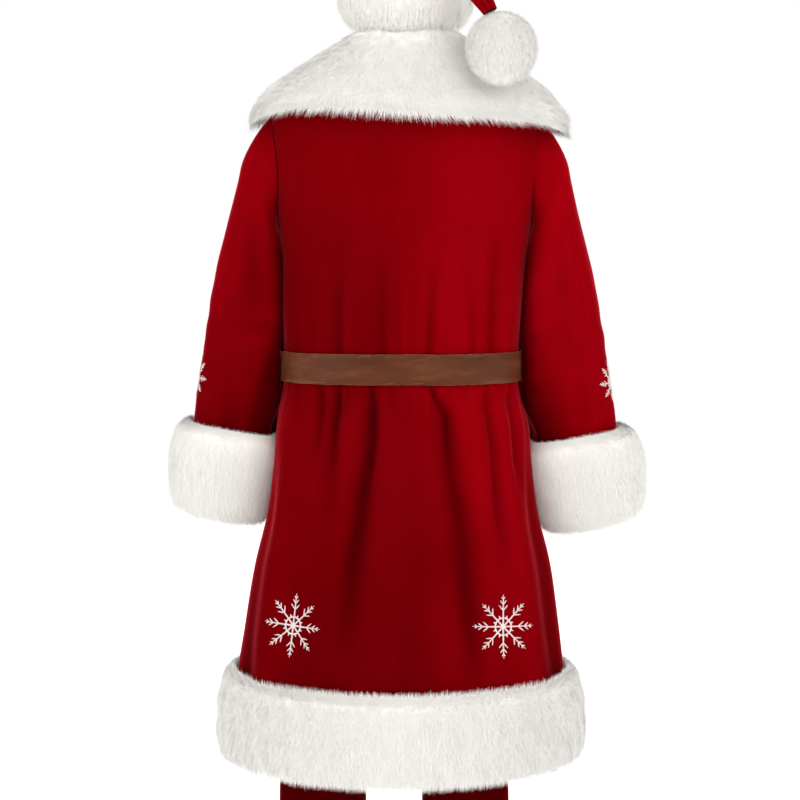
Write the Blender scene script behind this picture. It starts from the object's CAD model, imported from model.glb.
import bpy
import numpy as np
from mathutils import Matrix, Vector


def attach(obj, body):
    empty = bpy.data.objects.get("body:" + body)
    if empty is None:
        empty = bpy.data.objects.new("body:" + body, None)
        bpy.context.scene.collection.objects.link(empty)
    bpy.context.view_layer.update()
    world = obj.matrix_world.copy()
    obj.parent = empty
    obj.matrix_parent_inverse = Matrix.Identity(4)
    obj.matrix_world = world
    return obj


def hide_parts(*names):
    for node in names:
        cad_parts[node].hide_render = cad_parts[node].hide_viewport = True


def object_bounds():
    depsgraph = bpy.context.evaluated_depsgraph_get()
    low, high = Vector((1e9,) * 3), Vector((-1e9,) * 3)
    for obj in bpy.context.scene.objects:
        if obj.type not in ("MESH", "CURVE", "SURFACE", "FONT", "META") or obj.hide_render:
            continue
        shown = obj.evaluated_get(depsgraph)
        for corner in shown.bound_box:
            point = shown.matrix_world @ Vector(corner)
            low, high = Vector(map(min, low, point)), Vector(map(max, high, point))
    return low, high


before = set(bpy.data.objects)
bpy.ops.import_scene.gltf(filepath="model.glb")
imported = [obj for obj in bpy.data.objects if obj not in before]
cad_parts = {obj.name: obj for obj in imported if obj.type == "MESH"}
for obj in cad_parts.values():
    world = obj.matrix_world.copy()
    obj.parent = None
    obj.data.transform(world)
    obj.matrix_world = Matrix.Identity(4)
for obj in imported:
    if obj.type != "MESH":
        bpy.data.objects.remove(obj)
cadLow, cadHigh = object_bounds()
neckHeight = 1.480


# small tools: curves, tables and smooth irregular waves

def table(columns, rows):  # rows of numbers as named columns
    values = np.array(rows, dtype=float)
    return {name: values[:, i] for i, name in enumerate(columns.split())}


def smoothCurve(keys, values, at):  # cubic through the keys, with slopes from their neighbours
    at = np.asarray(at, dtype=float)
    slopes = np.gradient(values, keys)
    index = np.clip(np.searchsorted(keys, at) - 1, 0, len(keys) - 2)
    step = keys[index + 1] - keys[index]
    t = np.clip((at - keys[index]) / step, 0.0, 1.0)
    beyond = at - np.clip(at, keys[0], keys[-1])
    value = ((1 + 2 * t) * (1 - t) ** 2 * values[index] + t * (1 - t) ** 2 * step * slopes[index]
             + t * t * (3 - 2 * t) * values[index + 1] - t * t * (1 - t) * step * slopes[index + 1])
    return value + beyond * np.where(beyond < 0, slopes[0], slopes[-1])


def along(rows, key, name, at):  # one column of a table, curved between its rows
    return smoothCurve(rows[key], rows[name], at)


def ease(low, high, value):  # 0 below low, 1 above high, smooth between
    t = np.clip((value - low) / (high - low), 0.0, 1.0)
    return t * t * (3 - 2 * t)


def bell(value, width):  # 1 where the value is 0, falling smoothly to 0 over about twice the width
    return np.exp(-(value / width) ** 2)


def turnTo(degrees):  # the same direction, between -180 and 180
    return (degrees + 180.0) % 360.0 - 180.0


def unit(vectors):  # each vector over its own length
    return vectors / np.maximum(np.linalg.norm(vectors, axis=-1, keepdims=True), 1e-9)


def ripple(u, v, size, seed, waves=8):  # a sum of sine waves in random directions, about size metres long
    total = 0.0
    for way, stretch, phase in np.random.default_rng(seed).random((waves, 3)):
        rate = 2 * np.pi / size * (0.6 + 0.9 * stretch)
        total = total + np.sin(rate * (u * np.cos(np.pi * way) + v * np.sin(np.pi * way)) + 2 * np.pi * phase)
    return total / np.sqrt(waves)


# meshes from grids of points

def gridNormals(points, inside, closedRound=False):  # across the rows times down the columns, facing out
    if closedRound:
        across = np.roll(points, -1, axis=1) - np.roll(points, 1, axis=1)
    else:
        across = np.gradient(points, axis=1)
    normals = unit(np.cross(across, np.gradient(points, axis=0)))
    return normals * np.sign(np.sum(normals * (points - inside)))


def gridIndex(rows, columns, closedRound=False):  # point numbers: all, each face's corner, and the one beside
    index = np.arange(rows * columns).reshape(rows, columns)
    if closedRound:
        return index, index, np.roll(index, -1, axis=1)
    return index, index[:, :-1], index[:, 1:]


def gridFaces(rows, columns, closedRound):  # a four-sided face between each two rows and columns
    _, here, beside = gridIndex(rows, columns, closedRound)
    return np.stack([here[:-1], beside[:-1], beside[1:], here[1:]], axis=-1).reshape(-1, 4)


def signedVolume(points, faces):  # the sum of the corner-to-origin wedges, above 0 where the faces point out
    total = 0.0
    for i in range(1, faces.shape[1] - 1):
        corners = points[faces[:, 0]], points[faces[:, i]], points[faces[:, i + 1]]
        total += np.sum(corners[0] * np.cross(corners[1], corners[2])) / 6
    return total


def tubeFaces(points):  # the sides of a tube whose rows are rings, then a cap at each end, all facing out
    rows, columns = points.shape[:2]
    index, flat = gridIndex(rows, columns)[0], points.reshape(-1, 3)
    faceSets = [gridFaces(rows, columns, True), index[:1, ::-1], index[-1:]]
    if sum(signedVolume(flat, faces) for faces in faceSets) < 0:
        return [faces[:, ::-1] for faces in faceSets]
    return faceSets


def addObject(name, data):
    made = bpy.data.objects.new(name, data)
    bpy.context.collection.objects.link(made)
    return made


def addPiece(name, points, faceSets, finish, values=None, normals=None):  # a mesh that rides on the root
    corners = np.concatenate([faces.ravel() for faces in faceSets])
    sizes = np.concatenate([np.full(len(faces), faces.shape[1]) for faces in faceSets])
    mesh = bpy.data.meshes.new(name)
    mesh.vertices.add(len(points))
    mesh.vertices.foreach_set("co", (points - [0.0, 0.0, neckHeight]).astype(np.float32).ravel())
    mesh.loops.add(len(corners))
    mesh.loops.foreach_set("vertex_index", corners.astype(np.int32))
    mesh.polygons.add(len(sizes))
    mesh.polygons.foreach_set("loop_start", (np.cumsum(sizes) - sizes).astype(np.int32))
    mesh.update(calc_edges=True)
    for field, data in (values or {}).items():
        if np.ndim(data) == 2:
            layer = mesh.attributes.new(field, "FLOAT_VECTOR", "POINT")
            layer.data.foreach_set("vector", data.astype(np.float32).ravel())
        else:
            layer = mesh.attributes.new(field, "FLOAT", "POINT")
            layer.data.foreach_set("value", np.broadcast_to(data, len(points)).astype(np.float32))
    mesh.shade_smooth()
    if normals is None:
        mesh.set_sharp_from_angle(angle=np.radians(50.0))
    else:
        mesh.normals_split_custom_set_from_vertices(normals)
    mesh.materials.append(finish)
    piece = addObject(name, mesh)
    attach(piece, "root")
    return piece


def addShell(name, outer, inner, finish, closedRound=False, values=None):  # a closed wall between two grids
    rows, columns = outer.shape[:2]
    far = rows * columns
    points = np.concatenate([outer.reshape(-1, 3), inner.reshape(-1, 3)])
    faces = gridFaces(rows, columns, closedRound)
    index, here, beside = gridIndex(rows, columns, closedRound)
    sets = [faces, faces[:, ::-1] + far,
            np.stack([here[0], here[0] + far, beside[0] + far, beside[0]], axis=-1),
            np.stack([beside[-1], beside[-1] + far, here[-1] + far, here[-1]], axis=-1)]
    if not closedRound:
        first, last = index[:, 0], index[:, -1]
        sets.append(np.stack([first[:-1], first[1:], first[1:] + far, first[:-1] + far], axis=-1))
        sets.append(np.stack([last[1:], last[:-1], last[:-1] + far, last[1:] + far], axis=-1))
    faces = np.concatenate(sets)
    if signedVolume(points, faces) < 0:
        faces = faces[:, ::-1]
    bothSides = {}
    for field, data in (values or {}).items():  # a number for each point, or a direction, turned round inside
        flat = data.reshape(far, -1)
        bothSides[field] = np.concatenate([flat, -flat]) if data.ndim == 3 else np.tile(flat.ravel(), 2)
    return addPiece(name, points, [faces], finish, bothSides)


def standsFor(node):  # it takes the place of a solid
    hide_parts(node)


def declareCloth(node):
    standsFor(node)


# finishes

def newFinish(name, **sockets):
    made = bpy.data.materials.new(name)
    made.use_nodes = True
    shader = made.node_tree.nodes["Principled BSDF"]
    for socket, value in sockets.items():
        shader.inputs[socket.replace("_", " ")].default_value = value
    return made, made.node_tree, shader


def addNode(tree, kind, sockets=None, **settings):
    node = tree.nodes.new(kind)
    for name, value in settings.items():
        setattr(node, name, value)
    for socket, value in (sockets or {}).items():
        if isinstance(value, bpy.types.NodeSocket):
            tree.links.new(value, node.inputs[socket])
        else:
            node.inputs[socket].default_value = value
    return node


def calculate(tree, operation, *values):
    return addNode(tree, "ShaderNodeMath", dict(enumerate(values)), operation=operation).outputs[0]


def pointValue(tree, name, output="Fac"):
    return addNode(tree, "ShaderNodeAttribute", attribute_name=name).outputs[output]


def objectPlace(tree, scale=(1.0, 1.0, 1.0)):
    place = addNode(tree, "ShaderNodeTexCoord").outputs["Object"]
    return addNode(tree, "ShaderNodeMapping", {"Vector": place, "Scale": scale}).outputs["Vector"]


def noise(tree, place, size, detail=3.0, rough=0.55):  # size is the blotch size in metres
    sockets = {"Vector": place, "Scale": 1.0 / size, "Detail": detail, "Roughness": rough}
    return addNode(tree, "ShaderNodeTexNoise", sockets).outputs["Fac"]


def shades(tree, factor, stops):  # stops are (place, colour)
    ramp = addNode(tree, "ShaderNodeValToRGB", {"Fac": factor})
    elements = ramp.color_ramp.elements
    while len(elements) < len(stops):
        elements.new(0.5)
    for element, (place, colour) in zip(elements, stops):
        element.position = place
        element.color = (*colour, 1.0)
    return ramp.outputs["Color"]


def mixed(tree, kind, factor, one, two):
    sockets = {0: factor, 6: one, 7: two}
    return addNode(tree, "ShaderNodeMix", sockets, data_type="RGBA", blend_type=kind).outputs[2]


def bumped(tree, shader, layers):  # layers are (height socket, distance in metres, strength)
    normal = None
    for height, distance, strength in layers:
        sockets = {"Height": height, "Distance": distance, "Strength": strength}
        if normal is not None:
            sockets["Normal"] = normal
        normal = addNode(tree, "ShaderNodeBump", sockets).outputs["Normal"]
    tree.links.new(normal, shader.inputs["Normal"])


velvetLook = {
    "deep": (0.200, 0.0001, 0.0020), "middle": (0.235, 0.0002, 0.0030), "brushed": (0.270, 0.0004, 0.0044),
    "hollow": 0.60, "patch": 0.110, "crush": 0.030, "nap": 0.0011, "sheenWeight": 0.70,
    "sheenSpread": 0.24, "sheenTint": (1.0, 0.070, 0.100, 1.0)}


def velvetFinish(name, look, darker=1.0):  # soft patches of red times a fine nap, less where hollow is high
    made, tree, shader = newFinish(
        name, Roughness=0.85, Sheen_Weight=look["sheenWeight"], Sheen_Roughness=look["sheenSpread"],
        Sheen_Tint=look["sheenTint"], Specular_IOR_Level=0.0)
    stretched = objectPlace(tree, (1.0, 1.0, 0.45))
    level = objectPlace(tree)
    patches = noise(tree, stretched, look["patch"], 4.0, 0.6)
    colours = [tuple(darker * part for part in look[key]) for key in ("deep", "middle", "brushed")]
    cloth = shades(tree, patches, list(zip((0.25, 0.52, 0.80), colours)))
    nap = noise(tree, level, look["nap"], 2.0)
    grain = shades(tree, nap, [(0.3, (0.84, 0.84, 0.84)), (0.7, (1.12, 1.12, 1.12))])
    shadow = calculate(tree, "MULTIPLY_ADD", pointValue(tree, "hollow"), -look["hollow"], 1.0)
    napped = mixed(tree, "MULTIPLY", 1.0, cloth, grain)
    tree.links.new(mixed(tree, "MULTIPLY", 1.0, napped, shadow), shader.inputs["Base Color"])
    crush = noise(tree, stretched, look["crush"], 3.0)
    bumped(tree, shader, [(crush, 0.0022, 0.28), (nap, 0.0005, 0.35)])
    return made


furLook = {"root": (0.885, 0.858, 0.808), "middle": (0.925, 0.902, 0.858), "tip": (0.930, 0.912, 0.874),
           "patch": 0.060, "glow": 0.09}


def furFinish(name, look):  # hairs and skin are shaded as the smooth pile they make, whose way is in pileWay
    made, tree, shader = newFinish(
        name, Roughness=0.9, Sheen_Weight=0.06, Sheen_Roughness=0.5, Specular_IOR_Level=0.05,
        Emission_Color=(1.0, 0.975, 0.93, 1.0), Emission_Strength=look["glow"])
    share = pointValue(tree, "tipShare")
    pile = shades(tree, share, [(0.0, look["root"]), (0.45, look["middle"]), (1.0, look["tip"])])
    patches = noise(tree, objectPlace(tree), look["patch"])
    tint = shades(tree, patches, [(0.30, (0.975, 0.968, 0.955)), (0.70, (1.0, 1.0, 1.0))])
    tree.links.new(mixed(tree, "MULTIPLY", 1.0, pile, tint), shader.inputs["Base Color"])
    way = pointValue(tree, "pileWay", "Vector")
    turned = addNode(tree, "ShaderNodeVectorTransform", {0: way}, vector_type="NORMAL", convert_from="OBJECT")
    tree.links.new(turned.outputs[0], shader.inputs["Normal"])
    return made


leatherLook = {"deep": (0.056, 0.0125, 0.0026), "middle": (0.082, 0.0195, 0.0042),
               "worn": (0.126, 0.0385, 0.0115), "edge": (0.170, 0.070, 0.0300), "grain": 0.0013}


def leatherFinish(name, look):  # long clouds of brown, rubbed paler at the edges, with pores and creases
    made, tree, shader = newFinish(name, Roughness=0.50, Specular_IOR_Level=0.17)
    long = objectPlace(tree, (0.35, 0.35, 1.6))
    cloud = noise(tree, long, 0.030, 5.0, 0.6)
    hide = shades(tree, cloud, [(0.28, look["deep"]), (0.50, look["middle"]), (0.74, look["worn"])])
    rub = noise(tree, objectPlace(tree), 0.007, 3.0)
    worn = calculate(tree, "MULTIPLY", pointValue(tree, "edgeShare"), rub)
    rubbed = shades(tree, worn, [(0.30, (0.0, 0.0, 0.0)), (0.52, (1.0, 1.0, 1.0))])
    tree.links.new(mixed(tree, "MIX", rubbed, hide, (*look["edge"], 1.0)), shader.inputs["Base Color"])
    pores = addNode(tree, "ShaderNodeTexVoronoi", {"Vector": objectPlace(tree), "Scale": 1 / look["grain"]})
    creases = noise(tree, long, 0.006, 4.0, 0.65)
    bumped(tree, shader, [(creases, 0.0009, 0.35), (pores.outputs["Distance"], 0.0003, 0.30)])
    gloss = shades(tree, cloud, [(0.3, (0.44, 0.44, 0.44)), (0.7, (0.60, 0.60, 0.60))])
    tree.links.new(gloss, shader.inputs["Roughness"])
    return made


threadLook = {"light": (0.83, 0.71, 0.68), "shade": (0.60, 0.48, 0.45), "stitch": 0.00055}


def threadFinish(name, look):  # light and shade in a sine wave along each stroke
    made, tree, shader = newFinish(name, Roughness=0.5, Sheen_Weight=0.2, Specular_IOR_Level=0.4)
    turns = calculate(tree, "MULTIPLY", pointValue(tree, "strokeRun"), 2 * np.pi / look["stitch"])
    lift = calculate(tree, "MULTIPLY_ADD", calculate(tree, "SINE", turns), 0.5, 0.5)
    colour = shades(tree, lift, [(0.0, look["shade"]), (0.45, look["light"])])
    tree.links.new(colour, shader.inputs["Base Color"])
    bumped(tree, shader, [(lift, 0.0003, 0.8)])
    return made


brassLook = {"metal": (0.62, 0.43, 0.17), "dull": (0.34, 0.22, 0.08)}


def brassFinish(name, look):  # cloudy, lightly scratched metal
    made, tree, shader = newFinish(name, Metallic=1.0)
    cloud = noise(tree, objectPlace(tree), 0.010, 4.0)
    metal = shades(tree, cloud, [(0.3, look["dull"]), (0.6, look["metal"])])
    tree.links.new(metal, shader.inputs["Base Color"])
    haze = shades(tree, cloud, [(0.3, (0.42, 0.42, 0.42)), (0.7, (0.24, 0.24, 0.24))])
    tree.links.new(haze, shader.inputs["Roughness"])
    scratches = noise(tree, objectPlace(tree, (0.2, 1.0, 1.0)), 0.0009, 2.0)
    bumped(tree, shader, [(scratches, 0.0001, 0.25)])
    return made


velvet = velvetFinish("redVelvet", velvetLook)
shadedVelvet = velvetFinish("shadedVelvet", velvetLook, 0.66)
fur = furFinish("creamFur", furLook)
leather = leatherFinish("brownLeather", leatherLook)
thread = threadFinish("whiteThread", threadLook)
waxedThread = newFinish("waxedThread", Base_Color=(0.190, 0.095, 0.050, 1.0), Roughness=0.55)[0]
brass = brassFinish("satinBrass", brassLook)
print("finishes made")


# fur: a furred skin and its hairs. A fifth of the hairs are ribbons bent along the lay, the others straight
# blades, and all are shaded as the smooth pile they stand in

hairLook = {
    "width": 0.00052, "fine": 0.00038, "thickness": (0.7, 1.3), "jitter": 0.0010, "clump": 0.004,
    "pull": 0.06, "strays": 0.03, "strayScatter": 1.2, "strayStretch": 0.22, "stretch": (0.86, 1.12),
    "slide": (0.6, 1.4), "lift": 0.12, "turn": 0.35, "bent": 0.20, "smooth": 0.90}
fringeLook = {
    "strand": 3, "spread": 0.5, "within": 3, "outAt": 5, "rise": 0.3, "lean": 0.20, "waver": 0.04,
    "out": (0.02, 0.22), "shortest": 0.30, "even": (0.8, 1.0)}


def span(rng, limits, size):  # random numbers between two limits
    return limits[0] + (limits[1] - limits[0]) * rng.random(size)


def gridAt(grid, u, v):  # between the four grid points round each place, u across and v down
    rows, columns = grid.shape[:2]
    x, y = u * (columns - 1), v * (rows - 1)
    i, j = np.minimum(y.astype(int), rows - 2), np.minimum(x.astype(int), columns - 2)
    f, g = (y - i)[:, None], (x - j)[:, None]
    return ((grid[i, j] * (1 - g) + grid[i, j + 1] * g) * (1 - f)
            + (grid[i + 1, j] * (1 - g) + grid[i + 1, j + 1] * g) * f)


def hairPlaces(skin, count, rng):  # spread evenly over the skin's area
    rows, columns = skin.shape[:2]
    across, down = np.diff(skin, axis=1)[:-1], np.diff(skin, axis=0)[:, :-1]
    area = np.linalg.norm(np.cross(across, down), axis=-1)
    cell = rng.choice(area.size, size=count, p=(area / area.sum()).ravel())
    v = (cell // (columns - 1) + rng.random(count)) / (rows - 1)
    u = (cell % (columns - 1) + rng.random(count)) / (columns - 1)
    return u, v


def clumpPlaces(skin, u, v, rng):  # a place near the middle of each hair's clump
    wide = np.linalg.norm(np.diff(skin, axis=1), axis=-1).sum(axis=1).max()
    tall = np.linalg.norm(np.diff(skin, axis=0), axis=-1).sum(axis=0).max()
    lots = np.maximum(np.round(np.array([wide, tall]) / hairLook["clump"]), 2).astype(int)
    jitter = rng.random((2, lots[0] * lots[1]))
    column = np.minimum(u * lots[0], lots[0] - 1).astype(int)
    row = np.minimum(v * lots[1], lots[1] - 1).astype(int)
    clump = row * lots[0] + column
    return (column + jitter[0, clump]) / lots[0], (row + jitter[1, clump]) / lots[1]


def fringe(skin, form, lay, row, look, level, rng):  # blades of mixed length beyond one edge of the skin
    count, length, slant = look
    shape, step = fringeLook, 1 if row == 0 else -1
    strand = rng.integers(0, count // shape["strand"], count)
    place, lean, reach = rng.random(count), rng.normal(size=count), rng.random(count)  # one of each a strand
    edgeLength = np.linalg.norm(np.diff(skin[row], axis=0), axis=-1).sum()
    aside = hairLook["jitter"] * shape["spread"] / edgeLength * rng.normal(size=count)
    x = np.clip(place[strand] + aside, 0.0, 0.9999) * (skin.shape[1] - 1)
    j = x.astype(int)
    g, deep = (x - j)[:, None], rng.random((count, 1)) ** 1.5

    def at(grid, i):  # along row i, at each hair's place
        return grid[i, j] * (1 - g) + grid[i, j + 1] * g

    inside, outAt = row + step * shape["within"], row + step * shape["outAt"]
    edge, within = at(skin, row), at(skin, inside)
    root = edge + (within - edge + shape["rise"] * (at(form, inside) - within)) * deep
    outward = unit(at(form, outAt) - at(skin, outAt))
    leaning = slant + shape["lean"] * lean[strand] + shape["waver"] * rng.normal(size=count)
    way = unit(at(lay, row)) + unit(skin[row, j + 1] - skin[row, j]) * leaning[:, None]
    way = unit(way + outward * span(rng, shape["out"], (count, 1)))
    share = shape["shortest"] + (1 - shape["shortest"]) * reach[strand] ** 1.3
    tip = root + way * (length * share * span(rng, shape["even"], count))[:, None]
    half = unit(np.cross(way, outward)) * hairLook["fine"] / 2 * span(rng, hairLook["thickness"], (count, 1))
    return np.stack([root - half, root + half, tip], axis=1), unit(outward * [1.0, 1.0, level])


def addHairs(name, skin, form, lay, look, closedRound=False):  # from the skin to the form, slid along the lay
    shape, count, level, rng = hairLook, look["count"], look["level"], np.random.default_rng(look["seed"])
    if closedRound:
        skin, form, lay = (np.concatenate([grid, grid[:, :1]], axis=1) for grid in (skin, form, lay))
    u, v = hairPlaces(skin, count, rng)
    clumpU, clumpV = clumpPlaces(skin, u, v, rng)

    def tipOf(u, v, stretch, slide):  # stretched from the skin to the form, and slid along the lay
        root = gridAt(skin, u, v)
        return root + (gridAt(form, u, v) - root) * stretch + gridAt(lay, u, v) * slide

    stray = (rng.random(count) < shape["strays"])[:, None]
    stretch = span(rng, shape["stretch"], (count, 1)) + shape["strayStretch"] * stray
    slide = look["lay"] * span(rng, shape["slide"], (count, 1))
    scatter = rng.normal(size=(count, 3)) * shape["jitter"] * (1 + shape["strayScatter"] * stray)
    root = gridAt(skin, u, v)
    tip = tipOf(u, v, stretch, slide) + scatter
    pull = shape["pull"] * rng.random((count, 1)) * (1 - stray)
    tip = tip + (tipOf(clumpU, clumpV, 1.0, look["lay"]) - tip) * pull
    outward, run = unit(gridAt(form, u, v) - root), tip - root
    middle = (root + tip) / 2 + outward * np.linalg.norm(run, axis=-1, keepdims=True) * shape["lift"]
    side = unit(np.cross(run, outward + shape["turn"] * rng.normal(size=(count, 3))))
    facing = unit(np.cross(side, run))
    turned = np.sign(np.sum(facing * outward, axis=-1, keepdims=True)) + 1e-9
    half = side * turned * shape["width"] / 2 * span(rng, shape["thickness"], (count, 1))
    even = unit(outward * [1.0, 1.0, level])
    shading = unit(even * shape["smooth"] + facing * turned * (1 - shape["smooth"]))
    bent = int(count * shape["bent"])
    corners = [root - half, root + half, middle + 0.8 * half, middle - 0.8 * half, tip]
    ribbons = np.stack(corners, axis=1)[:bent]
    blades = np.stack([root - 1.2 * half, root + 1.2 * half, tip], axis=1)[bent:]
    for row, *edgeLook in look["fringes"]:
        extra, ways = fringe(skin, form, lay, row, edgeLook, level, rng)
        blades, shading = np.concatenate([blades, extra]), np.concatenate([shading, ways])
    straight = len(blades)
    points = np.concatenate([ribbons.reshape(-1, 3), blades.reshape(-1, 3)])
    first, second = 5 * np.arange(bent)[:, None], 5 * bent + 3 * np.arange(straight)[:, None]
    faces = [first + [0, 1, 2, 3], np.concatenate([first + [3, 2, 4], second + [0, 1, 2]])]
    shares = np.append(np.tile([0.0, 0.0, 0.6, 0.6, 1.0], bent), np.tile([0.0, 0.0, 1.0], straight))
    normals = np.repeat(shading, np.append(np.full(bent, 5), np.full(straight, 3)), axis=0)
    return addPiece(name, points, faces, fur, {"tipShare": shares, "pileWay": normals}, normals)


# coat: rounded-square rings, with folds that move the cloth in and out

coatShape = {
    "hem": 0.406, "neckline": 1.490, "armpit": 1.235, "shoulderTip": 1.415, "armholeAngle": 20.0,
    "frontLap": 9.0, "lapRise": 0.0045, "backTwist": 4.5, "cloth": 0.0018, "seamGap": 0.00001,
    "lapAngles": (152.0, 166.0), "twistTop": 1.30, "seamDip": 0.0005, "seamWidth": 0.0022,
    "seamLip": 0.30, "lipPlace": 0.0060, "lipWidth": 0.0030, "girth": 0.17,
    "columns": {"back": 48, "front": 34},
    "rows": {"skirt": 76, "belt": 5, "waist": 22, "armhole": 25, "shoulder": 9},
    "rings": table("height halfWidth halfDepth lean squareness", [
        (0.390, 0.2685, 0.211, 0.0, 2.2), (0.534, 0.2605, 0.203, 0.0, 2.2), (0.610, 0.2500, 0.193, 0.0, 2.3),
        (0.700, 0.2340, 0.184, 0.0, 2.4), (0.780, 0.2140, 0.177, 0.0, 2.5), (0.860, 0.2030, 0.169, 0.0, 2.6),
        (0.930, 0.1970, 0.160, 0.0, 2.6), (0.988, 0.1862, 0.149, 0.0, 2.6), (1.037, 0.1862, 0.147, 0.0, 2.6),
        (1.100, 0.1890, 0.150, -0.001, 2.6), (1.235, 0.1990, 0.150, -0.006, 2.6),
        (1.320, 0.2120, 0.146, -0.006, 2.6), (1.380, 0.2140, 0.136, -0.006, 2.6),
        (1.415, 0.2060, 0.125, -0.006, 2.6), (1.440, 0.1750, 0.108, -0.006, 2.6),
        (1.465, 0.1330, 0.093, -0.006, 2.6), (1.490, 0.0880, 0.080, -0.006, 2.6),
        (1.515, 0.0600, 0.070, -0.006, 2.6)]),
    "folds": [  # angle from the centre back, drift, depth, half-spread in degrees, top and bottom heights
        (44, 1, -0.0040, 4.5, 0.986, 0.84), (35, 0, -0.0070, 4.5, 0.986, 0.76),
        (26, 2, 0.0040, 5.0, 0.986, 0.62), (15.8, 9, -0.0100, 5.0, 0.986, 0.56),
        (-21.5, -11, -0.0100, 5.0, 0.986, 0.52), (-38, -4, 0.0040, 6.0, 0.986, 0.62),
        (-87, 1, 0.0060, 9.0, 0.960, 0.56),
        (-46.5, 1, -0.0080, 4.5, 0.986, 0.70), (-62, 0, -0.0070, 4.5, 0.986, 0.80),
        (57, 1, 0.0080, 7.0, 0.960, 0.38), (72, 1, -0.0070, 7.0, 0.960, 0.38),
        (-57, -1, 0.0076, 7.0, 0.900, 0.38), (-72, -1, -0.0070, 7.0, 0.960, 0.38),
        (110, 2, -0.0080, 6.0, 0.986, 0.42), (-112, -2, -0.0080, 6.0, 0.986, 0.42),
        (133, 5, -0.0100, 5.5, 0.986, 0.50), (-136, -6, -0.0090, 5.5, 0.986, 0.52),
        (152, 4, -0.0070, 5.0, 0.986, 0.62), (-155, -4, -0.0080, 5.0, 0.986, 0.60),
        (35, 0, -0.0030, 5.0, 1.250, 1.039), (-38.5, 0, -0.0035, 5.0, 1.260, 1.039),
        (-51, 0, -0.0030, 4.5, 1.220, 1.039), (140, 0, -0.0030, 6.0, 1.240, 1.039),
        (-140, 0, -0.0030, 6.0, 1.240, 1.039)]}
beltShape = {"bottom": 0.994, "top": 1.041, "thick": 0.0032, "ease": 0.0022, "tongue": 32.0,
             "layerGap": 0.0014, "overLap": (146.0, 156.0), "tongueCrosses": (184.0, 196.0),
             "lapEnds": (196.0, 208.0), "waver": 0.0005,
             "waverSize": 0.080, "buckling": 0.00035, "bucklingSize": 0.055, "girth": 0.15, "columns": 130}


def ringPoint(rings, angle, height, out=0.0):  # a superellipse's radius at the angle, and out beyond it
    width, depth, lean, power = (
        along(rings, "height", name, height) for name in ("halfWidth", "halfDepth", "lean", "squareness"))
    sine, cosine = np.sin(np.radians(angle)), np.cos(np.radians(angle))
    radius = (np.abs(sine / width) ** power + np.abs(cosine / depth) ** power) ** (-1 / power) + out
    return np.stack(np.broadcast_arrays(lean + radius * sine, radius * cosine, height), axis=-1)


def coatFold(angle, height):  # bell-shaped folds across the angle, swelling and fading down their length
    total = 0.0
    for centre, drift, depth, spread, top, bottom in coatShape["folds"]:
        wayDown = np.clip((top - height) / (top - bottom), 0.0, 1.0)
        swell = np.minimum(1.0, wayDown / 0.10) * (1 - ease(0.55, 1.0, wayDown))
        if bottom < coatShape["hem"]:
            swell = ease(0.0, 0.35, wayDown)
        elif bottom > beltShape["top"]:
            swell = ease(0.0, 0.8, wayDown) * (1 - ease(0.85, 1.0, wayDown))
        total = total + depth * swell * bell(turnTo(angle - centre - drift * wayDown), spread)
    return total


creaseLook = {"gatherSize": 0.026, "gatherDepth": 0.0009, "gatherFade": 0.050, "aboveSize": 0.040,
              "aboveDepth": 0.0006, "aboveFade": 0.060, "swaySize": 0.120, "swayDepth": 0.0016,
              "dragSize": 0.170, "dragDepth": 0.0013, "girth": 0.20}
tucks = table("angle drift depth spread drop", [  # narrow pleats from under the belt down to their drop
    (72.0, 1.0, 0.0030, 1.9, 0.130), (-76.0, -1.0, 0.0030, 1.9, 0.120), (88.0, 0.0, 0.0018, 1.6, 0.070),
    (-8.0, -0.5, 0.0010, 1.4, 0.040), (8.0, 0.5, 0.0012, 1.4, 0.050), (-56.0, 0.0, 0.0014, 1.4, 0.045),
    (110.0, 1.0, 0.0036, 1.9, 0.180), (-112.0, -1.0, 0.0036, 1.9, 0.170), (122.0, 1.0, 0.0018, 1.6, 0.060),
    (133.0, 3.0, 0.0042, 2.0, 0.200), (-136.0, -3.0, 0.0042, 2.0, 0.190), (-124.0, 0.0, 0.0016, 1.6, 0.060),
    (152.0, 2.0, 0.0034, 1.9, 0.150), (-155.0, -2.0, 0.0034, 1.9, 0.140), (-146.0, 0.0, 0.0016, 1.5, 0.050)])
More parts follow.
